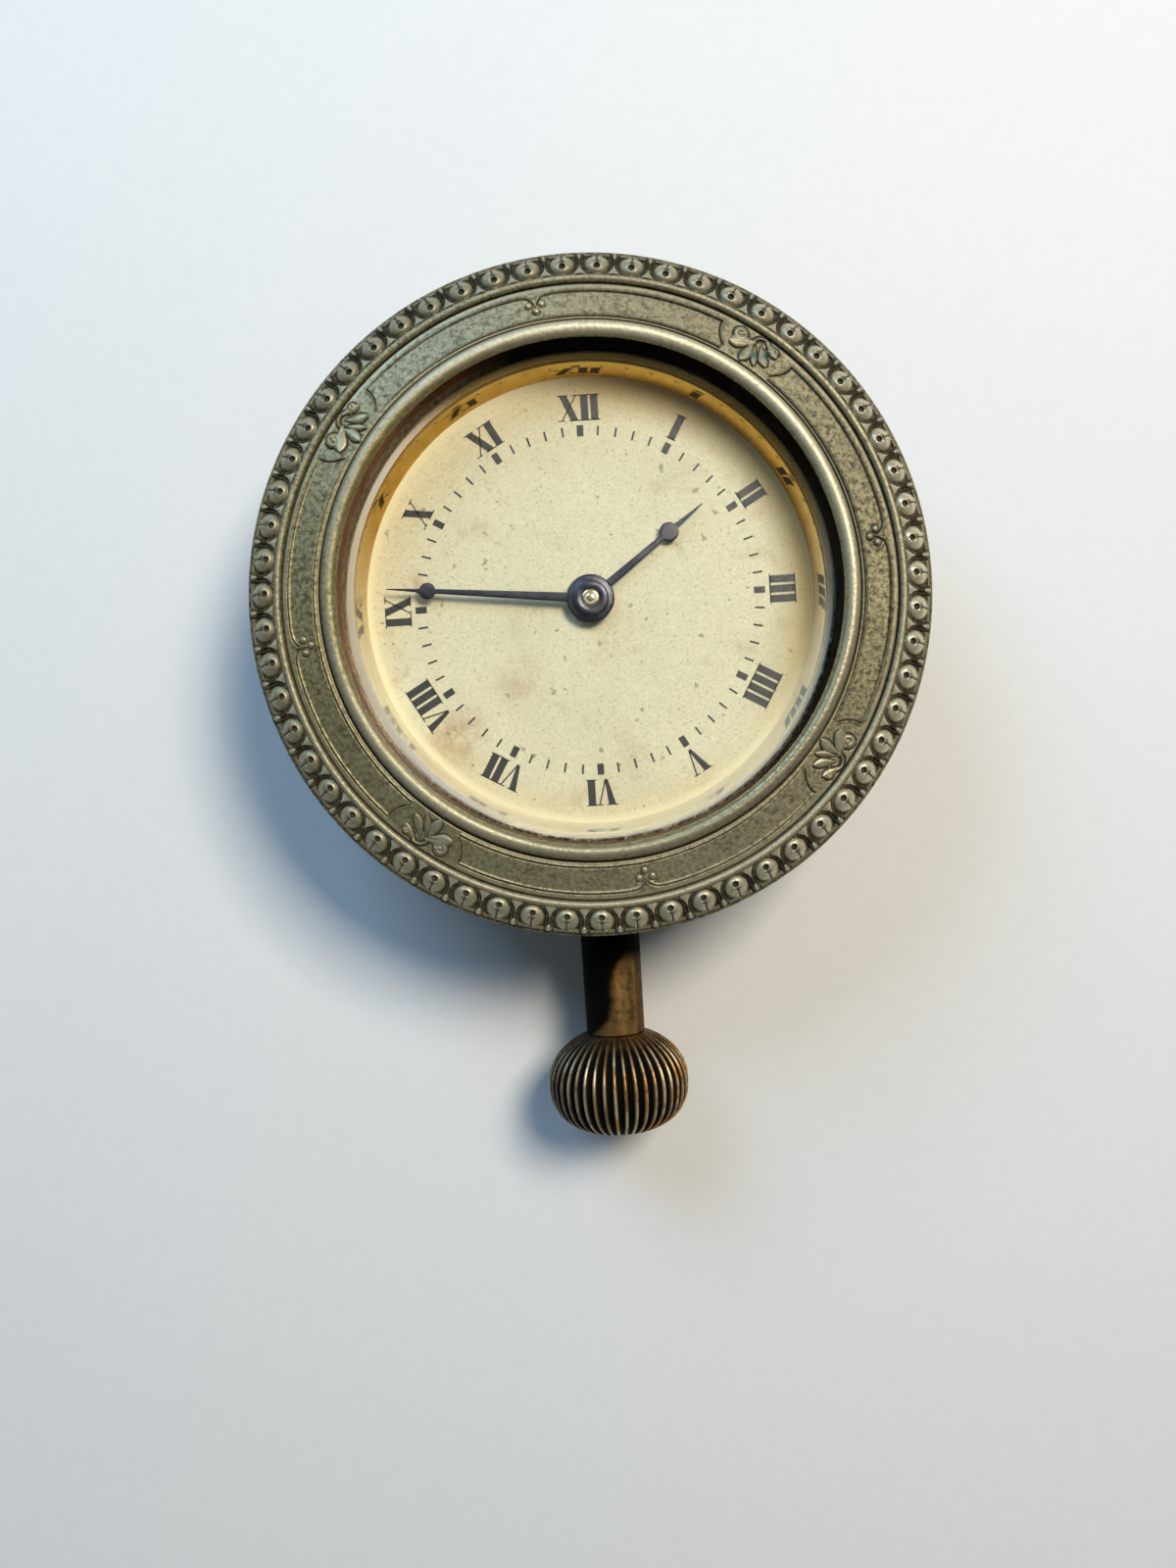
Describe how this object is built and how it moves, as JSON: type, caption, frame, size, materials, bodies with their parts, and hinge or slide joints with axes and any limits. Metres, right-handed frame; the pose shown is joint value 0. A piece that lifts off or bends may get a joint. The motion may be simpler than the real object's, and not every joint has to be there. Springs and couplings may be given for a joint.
{
  "type": "car dashboard clock",
  "caption": "Round dashboard clock with egg-and-dart bezel, bevelled glass, Roman dial, two hands and a ribbed knob on a long stem that winds and sets the geared movement inside.",
  "frame": {"origin": "centre of the back cover's outer face, on the dial's axis", "axes": "+Z out of the dial, +Y to twelve o'clock, the winding knob along -Y"},
  "size_m": [0.089, 0.1183, 0.0316],
  "materials": {
    "bezel_bronze": "dark patinated bronze, worn bright on the lip",
    "case_brass": "dull aged brass",
    "stem_bronze": "dark brown patina with rubbed edges",
    "glass": "clear, bevelled edge",
    "gilt": "polished gilt",
    "dial_paint": "aged matt cream with black figures",
    "hand_steel": "dark blued",
    "movement_brass": "gilded",
    "nickel_plate": "damaskeened nickel",
    "steel": "polished steel",
    "blued_steel": "heat blued",
    "ruby": "polished synthetic ruby"
  },
  "bodies": {
    "case": {"case_body": "case_brass", "back_cover": "case_brass", "pendant_tube": "stem_bronze", "bezel": "bezel_bronze", "glass": "glass", "reflector_ring": "gilt", "dial": "dial_paint", "pillar_plate": "movement_brass", "pillars": "movement_brass", "back_plate": "nickel_plate", "plate_screws": "blued_steel", "case_screws": "steel", "balance_cock": "nickel_plate", "pallet_bridge": "nickel_plate", "jewels": "ruby", "hairspring_stud": "steel", "crown_wheel_screw": "blued_steel", "click_spring": "steel", "click_post": "steel", "lever_post": "steel", "minute_post": "steel"},
    "winding": {"winding_pinion": "steel"},
    "knob": {"winding_knob": "stem_bronze", "winding_stem": "steel"},
    "clutch": {"clutch_wheel": "steel"},
    "setting_lever_body": {"setting_lever": "steel"},
    "crown_wheel_body": {"crown_wheel": "steel"},
    "ratchet_body": {"ratchet_wheel": "steel", "barrel_arbor": "steel"},
    "barrel_body": {"barrel_drum": "movement_brass", "barrel_cap": "movement_brass", "mainspring": "steel"},
    "intermediate_body": {"intermediate_wheel": "movement_brass", "intermediate_arbor": "steel"},
    "centre_body": {"centre_wheel": "movement_brass", "centre_arbor": "steel"},
    "third_body": {"third_wheel": "movement_brass", "third_arbor": "steel"},
    "fourth_body": {"fourth_wheel": "movement_brass", "fourth_arbor": "steel"},
    "escape_body": {"escape_wheel": "steel", "escape_arbor": "steel"},
    "pallet_body": {"pallet_fork": "steel", "pallet_stones": "ruby", "pallet_arbor": "steel"},
    "balance_body": {"balance_wheel": "movement_brass", "timing_screws": "movement_brass", "balance_staff": "steel", "roller": "steel", "hairspring": "blued_steel"},
    "minute_hand_body": {"minute_hand": "hand_steel", "cannon_pinion": "steel", "hand_cap": "gilt"},
    "minute_wheel_body": {"minute_wheel": "movement_brass"},
    "hour_hand_body": {"hour_hand": "hand_steel", "hour_wheel": "movement_brass"},
    "setting_body": {"setting_wheel": "steel", "setting_arbor": "steel"},
    "click_body": {"click": "steel"},
    "regulator_body": {"regulator": "steel"}
  },
  "joints": [
    {"name": "knob_turn", "type": "hinge", "parent": "case", "child": "winding", "pos_m": [0, -0.02377, 0.0114], "axis": [0, -1, 0], "continuous": true},
    {"name": "knob_pull", "type": "slide", "parent": "winding", "child": "knob", "axis": [0, -1, 0], "range_m": [0, 0.002]},
    {"name": "clutch_slide", "type": "slide", "parent": "winding", "child": "clutch", "axis": [0, 1, 0], "range_m": [0, 0.0016]},
    {"name": "setting_lever_turn", "type": "hinge", "parent": "case", "child": "setting_lever_body", "pos_m": [0.0064, -0.02547, 0.011], "axis": [0, 0, 1], "range_deg": [0, 18]},
    {"name": "crown_wheel_turn", "type": "hinge", "parent": "case", "child": "crown_wheel_body", "pos_m": [0, -0.01827, 0.011], "axis": [0, 0, 1], "continuous": true},
    {"name": "ratchet_turn", "type": "hinge", "parent": "case", "child": "ratchet_body", "pos_m": [-0.01474, -0.01032, 0.011], "axis": [0, 0, 1], "continuous": true},
    {"name": "fourth_turn", "type": "hinge", "parent": "case", "child": "fourth_body", "pos_m": [0.00953, 0.00896, 0.011], "axis": [0, 0, 1], "continuous": true},
    {"name": "escape_turn", "type": "hinge", "parent": "case", "child": "escape_body", "pos_m": [0.01411, 0.00438, 0.011], "axis": [0, 0, 1], "continuous": true},
    {"name": "third_turn", "type": "hinge", "parent": "case", "child": "third_body", "pos_m": [0.00283, 0.00778, 0.011], "axis": [0, 0, 1], "continuous": true},
    {"name": "centre_turn", "type": "hinge", "parent": "case", "child": "centre_body", "pos_m": [0, 0, 0.011], "axis": [0, 0, 1], "continuous": true},
    {"name": "intermediate_turn", "type": "hinge", "parent": "case", "child": "intermediate_body", "pos_m": [-0.00874, 0.00041, 0.011], "axis": [0, 0, 1], "continuous": true},
    {"name": "barrel_turn", "type": "hinge", "parent": "case", "child": "barrel_body", "pos_m": [-0.01474, -0.01032, 0.011], "axis": [0, 0, 1], "continuous": true},
    {"name": "pallet_swing", "type": "hinge", "parent": "case", "child": "pallet_body", "pos_m": [0.01531, -0.00011, 0.011], "axis": [0, 0, 1], "range_deg": [-5, 5]},
    {"name": "balance_swing", "type": "hinge", "parent": "case", "child": "balance_body", "pos_m": [0.01389, -0.00819, 0.011], "axis": [0, 0, 1], "range_deg": [-220, 220], "stiffness_Nm_per_rad": 0.000008, "deforming": ["hairspring"]},
    {"name": "minute_turn", "type": "hinge", "parent": "case", "child": "minute_hand_body", "pos_m": [0, 0, 0.0235], "axis": [0, 0, 1], "continuous": true},
    {"name": "minute_wheel_turn", "type": "hinge", "parent": "case", "child": "minute_wheel_body", "pos_m": [0.00283, -0.00662, 0.0235], "axis": [0, 0, 1], "continuous": true},
    {"name": "hour_turn", "type": "hinge", "parent": "case", "child": "hour_hand_body", "pos_m": [0, 0, 0.02285], "axis": [0, 0, 1], "continuous": true},
    {"name": "setting_turn", "type": "hinge", "parent": "case", "child": "setting_body", "pos_m": [0, -0.01453, 0.011], "axis": [0, 0, 1], "continuous": true},
    {"name": "click_turn", "type": "hinge", "parent": "case", "child": "click_body", "pos_m": [-0.02323, -0.00021, 0.011], "axis": [0, 0, 1], "range_deg": [0, 12], "stiffness_Nm_per_rad": 0.00001},
    {"name": "regulator_turn", "type": "hinge", "parent": "case", "child": "regulator_body", "pos_m": [0.01389, -0.00819, 0.002], "axis": [0, 0, 1], "range_deg": [-20, 20]}
  ],
  "couplings": [
    {"joint": "clutch_slide", "follows": "knob_pull", "ratio": 0.8},
    {"joint": "setting_lever_turn", "follows": "knob_pull", "rad_per_m": 156.25},
    {"joint": "crown_wheel_turn", "follows": "knob_turn", "ratio": 0.63636},
    {"joint": "ratchet_turn", "follows": "knob_turn", "ratio": -0.42955},
    {"joint": "escape_turn", "follows": "fourth_turn", "ratio": -8},
    {"joint": "third_turn", "follows": "fourth_turn", "ratio": -0.13333},
    {"joint": "centre_turn", "follows": "fourth_turn", "ratio": 0.016667},
    {"joint": "intermediate_turn", "follows": "fourth_turn", "ratio": -0.0027778},
    {"joint": "barrel_turn", "follows": "fourth_turn", "ratio": 0.0003858},
    {"joint": "minute_wheel_turn", "follows": "minute_turn", "ratio": -0.33333},
    {"joint": "hour_turn", "follows": "minute_turn", "ratio": 0.083333},
    {"joint": "setting_turn", "follows": "minute_turn", "ratio": 0.6}
  ]
}
